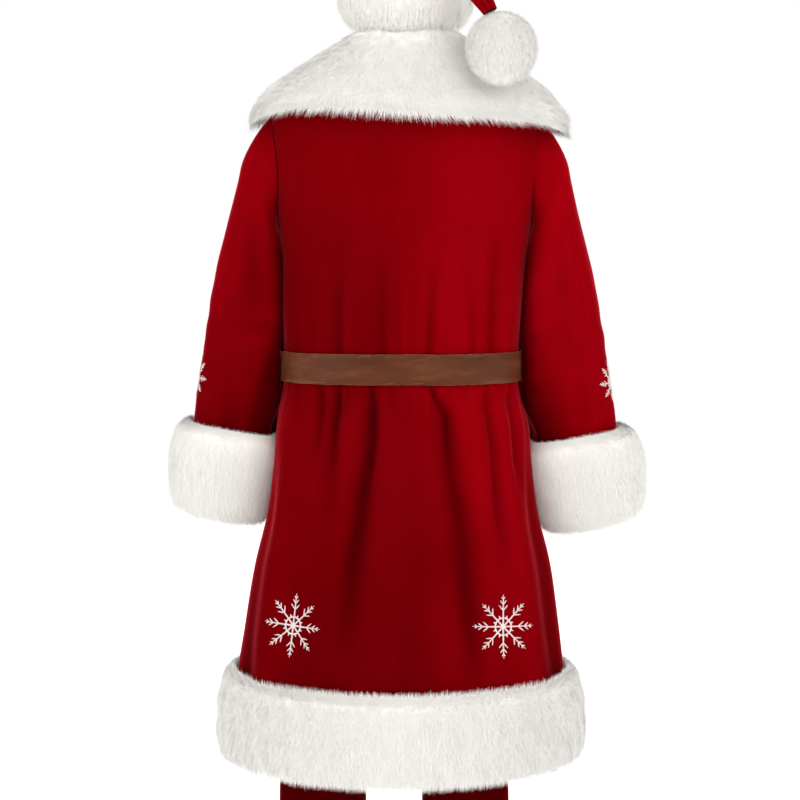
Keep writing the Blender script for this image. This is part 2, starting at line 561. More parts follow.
troughs = {  # the back's longer creases: height, angle, depth and half-spread in degrees down each one's line
    "leftLong": [(0.994, 16.8, 0.0052, 1.5), (0.956, 16.2, 0.0064, 1.9), (0.896, 16.5, 0.0072, 2.2),
                 (0.850, 18.8, 0.0054, 2.5), (0.774, 21.8, 0.0028, 3.0), (0.740, 23.8, 0.0026, 3.4),
                 (0.668, 23.8, 0.0015, 3.9), (0.580, 24.5, 0.0, 4.4)],
    "rightLong": [(0.994, -16.6, 0.0052, 1.4), (0.972, -21.0, 0.0068, 1.9), (0.954, -24.6, 0.0074, 2.3),
                  (0.912, -26.0, 0.0070, 2.7), (0.862, -26.8, 0.0054, 3.1), (0.792, -29.8, 0.0046, 3.6),
                  (0.740, -31.0, 0.0038, 3.9), (0.668, -31.8, 0.0037, 4.2), (0.600, -32.0, 0.0030, 4.5),
                  (0.535, -32.0, 0.0010, 5.0)],
    "leftMiddle": [(0.994, 34.8, 0.0046, 1.5), (0.940, 35.2, 0.0048, 1.9), (0.904, 35.2, 0.0028, 2.1),
                   (0.840, 35.5, 0.0, 2.6)],
    "leftOuter": [(0.994, 44.8, 0.0028, 1.5), (0.940, 43.0, 0.0032, 1.9), (0.880, 42.5, 0.0, 2.2)],
    "leftShort": [(0.994, 30.8, 0.0032, 1.0), (0.972, 29.8, 0.0024, 1.2), (0.940, 29.5, 0.0, 1.4)],
    "rightMiddle": [(0.994, -47.5, 0.0036, 1.4), (0.930, -47.8, 0.0042, 1.9), (0.824, -47.8, 0.0038, 2.5),
                    (0.772, -48.0, 0.0026, 2.9), (0.690, -48.5, 0.0, 3.3)],
    "rightOuter": [(0.994, -65.0, 0.0034, 1.5), (0.910, -63.5, 0.0042, 2.0), (0.830, -63.0, 0.0, 2.5)],
    "leftWaist": [(1.230, 12.0, 0.0, 4.0), (1.120, 11.5, 0.0020, 3.0), (1.043, 11.2, 0.0032, 2.2)],
    "rightWaist": [(1.210, -18.0, 0.0, 3.8), (1.120, -17.0, 0.0034, 2.9), (1.043, -16.8, 0.0048, 2.3)],
    "rightSide": [(1.250, -48.5, 0.0, 4.0), (1.138, -49.8, 0.0034, 3.0), (1.043, -51.2, 0.0038, 2.3)],
    "rightFlank": [(1.150, -39.0, 0.0, 3.0), (1.090, -39.6, 0.0020, 2.2), (1.043, -40.0, 0.0028, 1.7)],
    "leftFlank": [(1.180, 35.5, 0.0, 3.4), (1.094, 35.2, 0.0024, 2.6), (1.043, 35.2, 0.0032, 2.0)]}


def coatTuck(angle, height):  # the narrow pleats, deepest just under the belt
    below = beltShape["bottom"] - height
    total = 0.0
    for centre, drift, depth, spread, drop in zip(*tucks.values()):
        wayDown = np.clip(below / drop, 0.0, 1.0)
        swell = ease(0.0, 0.05, wayDown) * (1 - wayDown) ** 1.4
        width = spread * (1 + 0.7 * wayDown)
        total = total - depth * swell * bell(turnTo(angle - centre - drift * wayDown), width)
    return total


def coatTrough(angle, height):  # bell-shaped across its line, and gone beyond the line's ends
    total = 0.0
    for rows in troughs.values():
        heights, centres, depths, spreads = np.array(sorted(rows)).T
        inside = ease(heights[0] - 0.020, heights[0], height)
        inside = inside * (1 - ease(heights[-1], heights[-1] + 0.004, height))
        centre, spread = smoothCurve(heights, centres, height), np.interp(height, heights, spreads)
        depth = np.maximum(smoothCurve(heights, depths, height), 0.0) * inside
        total = total - depth * bell(turnTo(angle - centre), spread)
    return total


def coatPleats(angle, height):  # uneven gathers that fan out from the belt, with the tucks and troughs
    look = creaseLook
    around = np.radians(angle) * look["girth"]
    below, above = beltShape["bottom"] - height, height - beltShape["top"]
    gathers = ripple(around, 0.10 * height, look["gatherSize"], 11) * look["gatherDepth"]
    gathers = gathers * ease(0.0, 0.010, below) * np.exp(-np.maximum(below, 0.0) / look["gatherFade"])
    blouse = ripple(around, 0.15 * height, look["aboveSize"], 12) * look["aboveDepth"]
    blouse = blouse * ease(0.0, 0.010, above) * np.exp(-np.maximum(above, 0.0) / look["aboveFade"])
    return gathers + blouse + coatTuck(angle, height) + coatTrough(angle, height)


def coatCrease(angle, height):  # the pleats, and slow waves over the rest
    look = creaseLook
    around = np.radians(angle) * look["girth"]
    below, above = beltShape["bottom"] - height, height - beltShape["top"]
    sway = ripple(around, 0.22 * height, look["swaySize"], 13) * look["swayDepth"]
    sway = sway * ease(0.02, 0.10, below) * ease(0.535, 0.60, height)
    drag = ripple(around, 0.7 * height, look["dragSize"], 14) * look["dragDepth"] * ease(0.01, 0.08, above)
    return coatPleats(angle, height) + sway + drag


def coatPoint(angle, height, out=0.0):  # the ring's radius with its folds, and out beyond it
    return ringPoint(coatShape["rings"], angle, height, out + coatFold(angle, height))


def lapRise(angle):  # the left front rises over the right one near the centre
    return coatShape["lapRise"] * ease(*coatShape["lapAngles"], angle)


def armhole(height):  # half its width in degrees, an ellipse between the armpit and the shoulder's tip
    low, high = coatShape["armpit"], coatShape["shoulderTip"]
    share = (height - (low + high) / 2) / ((high - low) / 2)
    return coatShape["armholeAngle"] * np.sqrt(np.clip(1 - share ** 2, 0.0, 1.0))


def seamShares(columns):  # even places across a panel, with closer ones beside its seams
    near = np.array([0.0, 0.004, 0.010, 0.018])
    return np.concatenate([near, np.linspace(0.035, 0.965, columns), [0.982, 0.990, 0.996, 1.0]])


def seamAngle(radius):  # half the gap between two sewn pieces, in degrees
    return np.degrees(coatShape["seamGap"] / 2 / radius)


def seamDip(share, width):  # the cloth turns in at each seam, behind a slight lip
    near, depth = np.minimum(share, 1 - share) * width, coatShape["seamDip"]
    lip = coatShape["seamLip"] * bell(near - coatShape["lipPlace"], coatShape["lipWidth"])
    return depth * lip - depth * bell(near, coatShape["seamWidth"])


napLook = {  # how much darker the nap looks, as shares that add up
    "everywhere": 0.04, "middle": 0.62, "middleFrom": (-40.0, -4.0), "middleTo": (50.0, 82.0),
    "beltHeights": (0.93, 1.02), "above": 0.16, "seam": 0.20, "seamWidth": 15.0, "leftAbove": 0.76,
    "leftFade": 0.27, "leftFadeHeights": (1.06, 1.36), "leftSeam": -0.16, "foldDepth": 0.045,
    "pleatDepth": 0.0090, "dip": 0.2, "range": (-0.4, 1.2),
    "patches": table("share way from full low high", [  # below the belt: which side, its angles and heights
        (0.24, 0, -2.0, -1.0, 0.56, 0.95), (0.24, -1, 16.0, 34.0, 0.74, 0.88),
        (0.28, 1, 64.0, 72.0, 0.62, 0.74), (0.30, 1, 52.0, 66.0, 0.80, 0.95),
        (0.30, -1, 52.0, 66.0, 0.80, 0.95)])}


def napShade(node, angle, height):  # patches that ease in round the coat and out with height
    look = napLook
    below = 1 - ease(*look["beltHeights"], height)
    shade = look["middle"] * ease(*look["middleFrom"], angle) * (1 - ease(*look["middleTo"], angle))
    for share, way, start, full, low, high in zip(*look["patches"].values()):
        shade = shade + share * ease(start, full, way * angle) * (1 - ease(low, high, height))
    nearSeam = bell(angle, look["seamWidth"])
    above = look["above"] + look["seam"] * nearSeam
    if node == "coat_back_left":
        fade = look["leftFade"] * ease(*look["leftFadeHeights"], height)
        above = look["leftAbove"] - fade + look["leftSeam"] * nearSeam
    return look["everywhere"] + shade * below + above * (1 - below)


def coatPanel(node, side, edges, rise=None):  # between its two seam lines, from the hem to the neckline
    low, high, rows = coatShape["armpit"], coatShape["shoulderTip"], coatShape["rows"]
    hole = (high + low) / 2 - (high - low) / 2 * np.cos(np.linspace(0, np.pi, rows["armhole"]))
    heights = np.concatenate([
        np.linspace(coatShape["hem"], beltShape["bottom"], rows["skirt"])[:-1],
        np.linspace(beltShape["bottom"], beltShape["top"], rows["belt"])[:-1],
        np.linspace(beltShape["top"], low, rows["waist"])[:-1], hole[:-1],
        np.linspace(high, coatShape["neckline"], rows["shoulder"])])[:, None]
    share = seamShares(coatShape["columns"]["back" if "back" in node else "front"])[None, :]
    start, stop = edges(heights)
    gap = seamAngle(coatShape["girth"])
    angle = side * (start + gap + (stop - start - 2 * gap) * share)
    rise = rise(np.abs(angle)) if rise else 0.0
    dip = seamDip(share, 0.30) * ease(0.0, 0.02, stop - start)
    crease = coatCrease(angle, heights)
    outer = coatPoint(angle, heights, dip + crease + rise)
    inner = outer - gridNormals(outer, np.array([0.0, 0.0, 1.0])) * coatShape["cloth"]
    folds = coatFold(angle, heights) / napLook["foldDepth"]
    pleats = (coatPleats(angle, heights) + napLook["dip"] * dip) / napLook["pleatDepth"]
    hollow = np.clip(napShade(node, angle, heights) - folds - pleats, *napLook["range"])
    piece = addShell("cloth_" + node, outer, inner, velvet, False, {"hollow": hollow})
    declareCloth(node)


def coat():  # two back panels and two fronts, with an armhole between them on each side
    def twist(height):  # the back seam leans aside above the belt
        return coatShape["backTwist"] * ease(beltShape["top"], coatShape["twistTop"], height)

    def front(height):
        return 90 + armhole(height), 180 + coatShape["frontLap"] + 0 * height

    for side, word in ((1, "left"), (-1, "right")):
        coatPanel("coat_back_" + word, side, lambda z, side=side: (side * twist(z), 90 - armhole(z)))
        coatPanel("coat_front_" + word, side, front, lapRise if side > 0 else None)
    print("coat made")


# sleeves: ovals square to the arm, which start as the armhole's own outline

sleeveShape = {
    "lean": -0.006, "drop": {1: 0.0, -1: 0.014}, "blend": 0.14, "end": 0.925, "seams": (56.0, 225.0),
    "columns": 26, "rows": 74, "squareness": 2.4, "clear": 0.0008, "softening": 0.002, "girth": 0.07,
    "length": 0.62, "cuffStart": 0.785, "cuffRoom": 0.0094, "creaseDepth": 0.010,
    "elbow": 0.50, "elbowSpread": 0.16, "elbowInside": -140.0, "elbowSize": 0.050, "elbowDepth": 0.0022,
    "dragSize": 0.085, "dragDepth": 0.0012, "seamFlat": 7.0, "topWidth": 0.010,
    "rings": table("innerX innerZ outerX outerZ centreY halfDepth", [
        (0.2000, 1.236, 0.2080, 1.414, 0.000, 0.0700), (0.1960, 1.226, 0.2480, 1.360, 0.002, 0.0720),
        (0.1880, 1.212, 0.2640, 1.304, 0.004, 0.0740), (0.1800, 1.188, 0.2795, 1.242, 0.005, 0.0740),
        (0.1730, 1.140, 0.2955, 1.175, 0.004, 0.0730), (0.1710, 1.090, 0.3100, 1.105, 0.000, 0.0715),
        (0.1720, 1.040, 0.3195, 1.052, -0.006, 0.0700), (0.1780, 0.985, 0.3285, 0.995, -0.016, 0.0685),
        (0.1880, 0.935, 0.3365, 0.950, -0.026, 0.0675), (0.2080, 0.880, 0.3430, 0.897, -0.038, 0.0660),
        (0.2280, 0.800, 0.3480, 0.820, -0.052, 0.0650), (0.2330, 0.755, 0.3500, 0.776, -0.060, 0.0650)]),
    "folds": {  # side: turn and place of each end, depth, half-width in degrees
        1: [(118, 0.10, 150, 0.42, -0.0040, 13), (78, 0.20, 95, 0.50, -0.0022, 12),
            (165, 0.40, 140, 0.62, -0.0028, 10), (-60, 0.12, -80, 0.50, -0.0030, 14),
            (60, 0.55, 85, 0.80, -0.0018, 10), (-120, 0.35, -95, 0.70, -0.0025, 12)],
        -1: [(125, 0.08, 155, 0.36, -0.0034, 12), (70, 0.18, 88, 0.46, -0.0020, 12),
             (160, 0.42, 138, 0.66, -0.0030, 10), (-65, 0.14, -85, 0.46, -0.0028, 14),
             (55, 0.58, 80, 0.82, -0.0020, 10), (-118, 0.38, -96, 0.72, -0.0022, 12)]}}


def sideClearance(height):  # a sleeve stays this far from the coat's side, further beside the belt
    low, high = beltShape["bottom"], beltShape["top"]
    besideBelt = ease(low - 0.024, low - 0.004, height) * (1 - ease(high + 0.004, high + 0.024, height))
    return sleeveShape["clear"] + (beltShape["ease"] + beltShape["thick"]) * besideBelt


def fromCoatMiddle(points):  # sideways and backwards from the coat's middle line, and the line's own lean
    lean = along(coatShape["rings"], "height", "lean", points[..., 2])
    return points[..., 0] - lean, points[..., 1], lean


def besideCoat(points, clear, softening):  # pushed out from the coat's middle where nearer than clear
    height, (x, y, lean) = points[..., 2], fromCoatMiddle(points)
    angle, reach = np.degrees(np.arctan2(x, y)), np.hypot(x, y)
    coatSide = coatPoint(angle, height, coatCrease(angle, height))
    short = np.hypot(coatSide[..., 0] - lean, coatSide[..., 1]) + clear - reach
    push = (short + np.sqrt(short ** 2 + softening ** 2)) / 2
    return points + np.stack([x / reach * push, y / reach * push, 0 * push], axis=-1)


def sleevePoint(side, turn, place):  # a superellipse round the arm: turn from its outer line over the back
    rings = dict(sleeveShape["rings"], key=np.linspace(0, 1, 12))
    innerX, innerZ, outerX, outerZ, centreY, halfDepth = (
        along(rings, "key", name, place)
        for name in ("innerX", "innerZ", "outerX", "outerZ", "centreY", "halfDepth"))
    out, back = np.cos(np.radians(turn)), np.sin(np.radians(turn))
    power = sleeveShape["squareness"]
    fuller = (np.abs(out) ** power + np.abs(back) ** power) ** (-1 / power)
    x = side * ((innerX + outerX) / 2 + (outerX - innerX) / 2 * out * fuller) + sleeveShape["lean"]
    z = (innerZ + outerZ) / 2 + (outerZ - innerZ) / 2 * out * fuller - sleeveShape["drop"][side] * place
    oval = np.stack(np.broadcast_arrays(x, centreY + halfDepth * back * fuller, z), axis=-1)
    low, high = coatShape["armpit"], coatShape["shoulderTip"]
    hole = ringPoint(coatShape["rings"], side * (90 - coatShape["armholeAngle"] * back),
                     (high + low) / 2 + (high - low) / 2 * out)
    blend = ease(0.0, sleeveShape["blend"], place)[..., None]
    points = hole * (1 - blend) + oval * blend
    setOff, start = ease(0.0, 0.05, place), sleeveShape["cuffStart"]
    room = sleeveShape["cuffRoom"] * ease(start - 0.10, start - 0.01, place)
    clear = sideClearance(points[..., 2]) * setOff + room
    return besideCoat(points, clear, sleeveShape["softening"] * setOff)


def armLine(side, place):  # the middle of the sleeve
    return (sleevePoint(side, 0.0 * place, place) + sleevePoint(side, 180.0 + 0 * place, place)) / 2


def nearSide(points, low, high):  # 1 where a sleeve's points lie against the coat's side, 0 away from it
    x, y, lean = fromCoatMiddle(points)
    coatSide = ringPoint(coatShape["rings"], np.degrees(np.arctan2(x, y)), points[..., 2])
    apart = np.hypot(x, y) - np.hypot(coatSide[..., 0] - lean, coatSide[..., 1])
    return 1 - ease(low, high, apart)


def sleeveCrease(side, turn, place):  # hand-placed troughs, fine drag lines at the shoulder, soft elbow waves
    shape, total = sleeveShape, 0.0
    for turn0, place0, turn1, place1, depth, spread in shape["folds"][side]:
        way = np.clip((place - place0) / (place1 - place0), 0.0, 1.0)
        swell = np.sin(np.pi * way) ** 0.8
        total = total + depth * swell * bell(turnTo(turn - turn0 - (turn1 - turn0) * way), spread)
    around, down = np.radians(turn) * shape["girth"], shape["length"] * place
    inside = 0.35 + 0.65 * bell(turnTo(turn - shape["elbowInside"]), 60)
    elbow = bell(place - shape["elbow"], shape["elbowSpread"]) * inside * shape["elbowDepth"]
    total = total + elbow * ripple(0.35 * around, down, shape["elbowSize"], 21 + side)
    drag = shape["dragDepth"] * ripple(around, 0.35 * down, shape["dragSize"], 31 + side)
    total = total + drag * ease(0.03, 0.12, place)
    return total * (1 - bell(turnTo(turn - shape["seams"][0]), shape["seamFlat"]))


sleeveNap = {  # side: how dark the nap looks, how that changes down the arm, and beside the coat
    1: {"top": 0.45, "change": 0.20, "changeAt": (0.3, 0.7), "shoulder": 0.12, "cuff": 0.10, "beside": 1.15,
        "width": 0.020, "wider": 0.045, "widerAt": (0.45, 0.70)},
    -1: {"top": 0.20, "change": -0.12, "changeAt": (0.4, 0.8), "shoulder": 0.25, "cuff": 0.0, "beside": 1.0,
         "width": 0.028, "wider": 0.062, "widerAt": (0.40, 0.65)}}


def sleeveShade(side, turn, place, base):  # shares that add up, lighter at the shoulder and on the outer line
    look = sleeveNap[side]
    reach = look["width"] + look["wider"] * ease(*look["widerAt"], place)
    beside = look["beside"] * nearSide(base, 0.0, reach) * (1 - ease(1.17, 1.25, base[..., 2]))
    outerLine = bell(turnTo(turn - 10.0), 38.0) * (1 - ease(0.30, 0.50, place))
    shoulder = look["shoulder"] * (1 - ease(0.16, 0.30, place))
    nap = look["top"] + look["change"] * ease(*look["changeAt"], place) + look["cuff"] * ease(0.6, 0.8, place)
    return nap + beside - shoulder - 0.22 * outerLine


def sleeveHalf(node, side, first, last):  # the oval between two seams, creased away from the coat
    place = np.linspace(0, sleeveShape["end"], sleeveShape["rows"])[:, None]
    share, gap = seamShares(sleeveShape["columns"])[None, :], seamAngle(sleeveShape["girth"])
    turn = first + gap + (last - first - 2 * gap) * share
    middle, base = armLine(side, place), sleevePoint(side, turn, place)
    swell = sleeveCrease(side, turn, place) + seamDip(share, 0.21)
    swell = swell - coatShape["seamDip"] * bell(place, sleeveShape["topWidth"])
    swell = swell * (1 - nearSide(base, 0.003, 0.020))
    outer = base + gridNormals(base, middle) * swell[..., None]
    inner = outer - gridNormals(outer, middle) * coatShape["cloth"]
    nap = sleeveShade(side, turn, place, base)
    hollow = np.clip(nap - swell / sleeveShape["creaseDepth"], *napLook["range"])
    piece = addShell("cloth_" + node, outer, inner, velvet, False, {"hollow": hollow})
    declareCloth(node)


def sleeves():
    backSeam, frontSeam = sleeveShape["seams"]
    for side, word in ((1, "left"), (-1, "right")):
        sleeveHalf(f"sleeve_{word}_under", side, backSeam, frontSeam)
        sleeveHalf(f"sleeve_{word}_top", side, frontSeam, backSeam + 360)
    print("sleeves made")


# fur bands: pile thickness across a band, as shares of its depth

bandPile = table("place share", [
    (0.0, 0.20), (0.05, 0.62), (0.20, 0.93), (0.50, 1.0), (0.80, 0.96), (0.94, 0.66), (1.0, 0.22)])
collarPile = table("place share", [
    (0.0, 0.25), (0.10, 0.62), (0.32, 0.95), (0.55, 1.0), (0.80, 0.86), (0.94, 0.64), (1.0, 0.30)])
cuffPile = table("place share", [
    (0.0, 0.20), (0.06, 0.60), (0.22, 0.92), (0.50, 1.0), (0.72, 0.94), (0.87, 0.70), (0.96, 0.40),
    (1.0, 0.16)])
brimPile = table("place share", [
    (0.0, 0.04), (0.08, 0.42), (0.25, 0.82), (0.50, 1.0), (0.78, 0.92), (0.94, 0.62), (1.0, 0.22)])
furBody = {"deepest": 0.016, "tipShare": 0.6}  # the dense pile that the hairs stand on


def bandPlaces(rows):  # closer together at the band's two edges
    return (1 - np.cos(np.linspace(0, np.pi, rows))) / 2


def edgeLay(down, share, grid):  # hairs lie down the band, and up over its upper edge, where share is 0
    return down * (1.5 * ease(0.0, 0.20, share) - 0.5)[..., None] * np.ones_like(grid)


def furBand(node, back, skin, form, lay, look, closedRound=False):  # a wall and its hairs
    through = skin - back
    thick = np.linalg.norm(through, axis=-1, keepdims=True)
    back = skin - through / thick * np.minimum(thick, furBody["deepest"])
    values = {"tipShare": np.full(skin.shape[:2], furBody["tipShare"]),
              "pileWay": unit(unit(form - skin) * [1.0, 1.0, look["level"]])}
    body = addShell("skin_" + node, skin, back, fur, closedRound, values)
    hair = addHairs("hair_" + node, skin, form, lay, look, closedRound)
    standsFor(node)
    declareCloth(node)


hemShape = {
    "bottom": 0.398, "top": 0.535, "fur": 0.031, "ease": 0.0022, "edge": 0.0045, "dip": 0.008, "skin": 0.78,
    "backReach": 0.93, "skinReach": 0.955, "hairReach": 1.01, "lay": 0.0110, "level": 0.12, "rows": 24,
    "lump": 0.0010, "girth": 0.24, "fringes": [(-1, 3600, 0.0080, -0.10), (0, 2400, 0.0070, 0.15)]}
# each fringe is a row of the skin, how many hairs (here in half a turn), their length and their slant


def hemBand(node, first, last, columns, count, seed, rise=None):  # the coat's rings with a bulge of pile
    shape = hemShape
    place = bandPlaces(shape["rows"])[:, None]
    gap = seamAngle(shape["girth"])
    angle = np.linspace(first + gap, last - gap, columns)[None, :]
    dip = shape["dip"] * np.maximum(0.0, np.cos(np.radians(angle))) ** 2
    lift = rise(angle) if rise else 0.0
    middle, half = (shape["top"] + shape["bottom"]) / 2 - dip, (shape["top"] - shape["bottom"]) / 2
    pile = shape["fur"] * along(bandPile, "place", "share", place)
    lump = shape["lump"] * ripple(np.radians(angle) * shape["girth"], place * 0.14, 0.045, 41)

    def surface(reach, depth, swell=0.0):  # reach stretches the band's height, depth is a share of its pile
        height = middle + (2 * place - 1) * half * reach
        under = coatFold(angle, height) + shape["ease"] + lift
        thick = np.maximum(pile * depth, under + shape["edge"] * depth) if depth > 0 else under
        return ringPoint(coatShape["rings"], angle, height, thick + swell)

    back = surface(shape["backReach"], 0.0)
    skin = surface(shape["skinReach"], shape["skin"], lump)
    form = surface(shape["hairReach"], 1.0, 1.5 * lump)
    lay = edgeLay(np.array([0.0, 0.0, -1.0]), 1 - place, skin)
    share = (last - first) / 180
    fringes = [(row, int(many * share), length, slant) for row, many, length, slant in shape["fringes"]]
    look = dict(shape, count=count, seed=seed, fringes=fringes)
    furBand(node, back, skin, form, lay, look)


def hem():
    frontEdge = 180 + coatShape["frontLap"]
    hemBand("hem_band_back", -90.0, 90.0, 100, 104000, 51)
    hemBand("hem_band_left", 90.0, frontEdge, 54, 50000, 52, lapRise)
    hemBand("hem_band_right", frontEdge, 270.0, 46, 42000, 53)
    print("hem fur made")


collarShape = {
    "edge": 1.402, "top": 1.535, "tilt": 0.037, "sideReach": 0.24, "sag": 0.019, "sagTilt": 0.005,
    "cornerRise": 0.020, "cornerAngles": (150.0, 180.0), "drape": 1.25, "fur": 0.030, "frontGap": 0.8,
    "skin": 0.76, "hair": 0.93, "columns": 124, "rows": 30, "lay": 0.0125, "fan": 0.22, "slant": -1.6,
    "gap": 0.0004, "lump": 0.0014, "lift": 0.0078, "liftTilt": 0.0038, "count": 100000, "seed": 61,
    "level": 0.38, "fringes": [(-1, 11000, 0.0300, 0.20)],
    "rings": table("height halfWidth halfDepth lean squareness", [
        (1.300, 0.2460, 0.158, -0.008, 2.6), (1.372, 0.2425, 0.153, -0.008, 2.6),
        (1.395, 0.2345, 0.146, -0.008, 2.6), (1.418, 0.2150, 0.137, -0.008, 2.6),
        (1.442, 0.1850, 0.122, -0.008, 2.6), (1.465, 0.1460, 0.107, -0.008, 2.6),
        (1.487, 0.1130, 0.095, -0.008, 2.6), (1.505, 0.0910, 0.085, -0.008, 2.6),
        (1.530, 0.0740, 0.074, -0.008, 2.6), (1.560, 0.0640, 0.066, -0.008, 2.6)])}


def collar():  # rings that widen from the neck to a tilted edge, with the hairs fanned out over the shoulders
    shape = collarShape
    gap = shape["frontGap"] / 2
    angle = np.linspace(-180 + gap, 180 - gap, shape["columns"])[None, :]
    place = bandPlaces(shape["rows"])[:, None]
    sideways = np.sin(np.radians(angle))
    sag = (shape["sag"] + shape["sagTilt"] * sideways) * np.abs(sideways) ** 10
    edge = shape["edge"] + shape["tilt"] * shape["sideReach"] * sideways - sag
    edge = edge + shape["cornerRise"] * ease(*shape["cornerAngles"], np.abs(angle))
    height = shape["top"] + (edge - shape["top"]) * place ** shape["drape"]
    base = ringPoint(shape["rings"], angle, height)
    normals = gridNormals(base, np.array([-0.008, 0.0, 1.40]))
    pile = shape["fur"] * along(collarPile, "place", "share", place)[..., None]
    lump = shape["lump"] * ripple(np.radians(angle) * 0.20, place * 0.2, 0.060, 62)[..., None]
    down = unit(np.gradient(base, axis=0))
    lift = shape["lift"] + shape["liftTilt"] * np.clip(base[..., :1] / 0.20, -1.0, 1.0)
    lifted = base - down * lift * ease(0.75, 1.0, place)[..., None]  # the skin ends above the fringe's tips
    skin = lifted + normals * (pile * shape["skin"] + lump)
    form = lifted + normals * (shape["hair"] * pile + 1.2 * lump)
    aside = sideways / np.sqrt(sideways ** 2 + 0.03) + shape["slant"] * ease(0.7, 1.0, place)
    fan = np.stack([aside, 0 * height, 0 * height], axis=-1)
    lay = edgeLay(unit(down + shape["fan"] * fan), place, skin)
    furBand("collar", lifted + normals * shape["gap"], skin, form, lay, shape)
    print("collar made")


cuffShape = {
    "start": 0.786, "end": 0.988, "tilt": 0.014, "innerShort": 0.016, "fur": {1: 0.036, -1: 0.045},
    "gap": 0.0014, "skin": 0.78, "hair": 0.97, "pressed": 0.68, "pressedSpread": 48.0, "lay": 0.0100,
    "columns": 64, "rows": 22, "count": 60000, "lump": 0.0012, "level": 0.20,
    "fringes": [(0, 2400, 0.0085, 0.0), (-1, 1600, 0.0060, 0.0)]}


def cuff(word, side):  # pile round the sleeve's ovals, higher on their outer line and pressed flat inside
    shape = cuffShape
    turn = np.linspace(0, 360, shape["columns"], endpoint=False)[None, :]
    share = bandPlaces(shape["rows"])[:, None]
    outward = np.cos(np.radians(turn))
    start = shape["start"] - shape["tilt"] * (1 + outward) / 2
    end = shape["end"] - shape["tilt"] * (1 + outward) / 4
    end = end - shape["innerShort"] * np.maximum(-outward, 0.0) ** 2
    place = start + (end - start) * share
    nearBody = bell(turnTo(turn - 180.0), shape["pressedSpread"])
    pile = shape["fur"][side] * (1 - shape["pressed"] * nearBody) * along(cuffPile, "place", "share", share)
    lump = ripple(np.radians(turn) * 0.10, share * 0.16, 0.045, 71 + side)
    lump = shape["lump"] * (1 - 0.6 * nearBody) * lump
    base = sleevePoint(side, turn, place)
    normals = gridNormals(base, armLine(side, place), True)
    down = unit(np.gradient(base, axis=0))
    skin = base + normals * (shape["gap"] + pile * shape["skin"] + lump)[..., None]
    form = base + normals * (shape["gap"] + pile * shape["hair"] + lump)[..., None]
    back, lay = base + normals * shape["gap"], edgeLay(down, share, skin)
    furBand("cuff_" + word, back, skin, form, lay, dict(shape, seed=73 + side),
            True)


def cuffs():
    for side, word in ((1, "left"), (-1, "right")):
        cuff(word, side)
    print("cuffs made")


# belt: two straps joined at the centre back, the right one's tongue over the left one in front

strapSection = table("across depth", [  # round the strap's section: place across its width and through it
    (-1.0, 0.50), (-0.985, 0.82), (-0.955, 0.97), (-0.86, 1.04), (-0.45, 1.0), (0.0, 0.97), (0.45, 1.0),
    (0.86, 1.04), (0.955, 0.97), (0.985, 0.82), (1.0, 0.50), (0.985, 0.15), (0.90, 0.0), (0.0, 0.0),
    (-0.90, 0.0), (-0.985, 0.15)])


def strap(node, first, last, rise, seed):  # the section carried round the coat, a little wavy
    shape, gap = beltShape, seamAngle(beltShape["girth"])
    low, high = first + gap, last - gap
    even = np.linspace(low, high, shape["columns"])[1:-1]
    angle = np.concatenate([[low, low + 0.1], even, [high - 0.1, high]])[:, None]
    across, depth = strapSection["across"][None, :], strapSection["depth"][None, :]
    middle, half = (shape["top"] + shape["bottom"]) / 2, (shape["top"] - shape["bottom"]) / 2
    around = np.radians(angle) * coatShape["girth"]
    waver = shape["waver"] * ripple(around, 0 * around, shape["waverSize"], seed)
    buckling = 1 + ripple(around, 0.5 * across * half, shape["bucklingSize"], seed + 1)
    buckling = shape["buckling"] * buckling * depth
    height = middle + half * across + waver
    points = coatPoint(angle, height, shape["ease"] + rise(angle) + shape["thick"] * depth + buckling)
    edge = np.broadcast_to(ease(0.90, 1.0, np.abs(across)), points.shape[:2])
    values = {"edgeShare": edge.ravel()}
    piece = addPiece("strap_" + node, points.reshape(-1, 3), tubeFaces(points), leather, values)
    standsFor(node)


stitchLook = {"count": 232, "length": 0.0030, "width": 0.00045, "lift": 0.00025, "inset": 0.0034}


def stitches(node, first, last, rise):  # two rows of short sunk boxes, each laid along the strap's outer face
    look, shape = stitchLook, beltShape
    count = int(look["count"] * (last - first) / 360)
    turn = np.linspace(first + 1.0, last - 1.0, count)[:, None]
    half = (shape["top"] - shape["bottom"]) / 2
    spread = np.degrees(look["length"] / 2 / coatShape["girth"])
    rows = []
    for edge in (-1, 1):
        level = (shape["top"] + shape["bottom"]) / 2 + edge * (half - look["inset"])
        angle = turn + spread * np.array([[-1, 1, 1, -1, -1, 1, 1, -1]])
        height = level + look["width"] / 2 * np.array([[-1, -1, 1, 1, -1, -1, 1, 1]]) + 0 * turn
        lift = shape["thick"] * 1.02 + look["lift"] * np.array([[-2, -2, -2, -2, 1, 1, 1, 1]])
        rows.append(coatPoint(angle, height, shape["ease"] + rise(angle) + lift))
    boxes = np.concatenate(rows)
    box = np.array([[0, 3, 2, 1], [4, 5, 6, 7], [0, 1, 5, 4], [1, 2, 6, 5], [2, 3, 7, 6], [3, 0, 4, 7]])
    faces = (8 * np.arange(len(boxes))[:, None, None] + box).reshape(-1, 4)
    if signedVolume(boxes[0], box) < 0:
        faces = faces[:, ::-1]
    piece = addPiece("stitches_" + node, boxes.reshape(-1, 3), [faces], waxedThread)


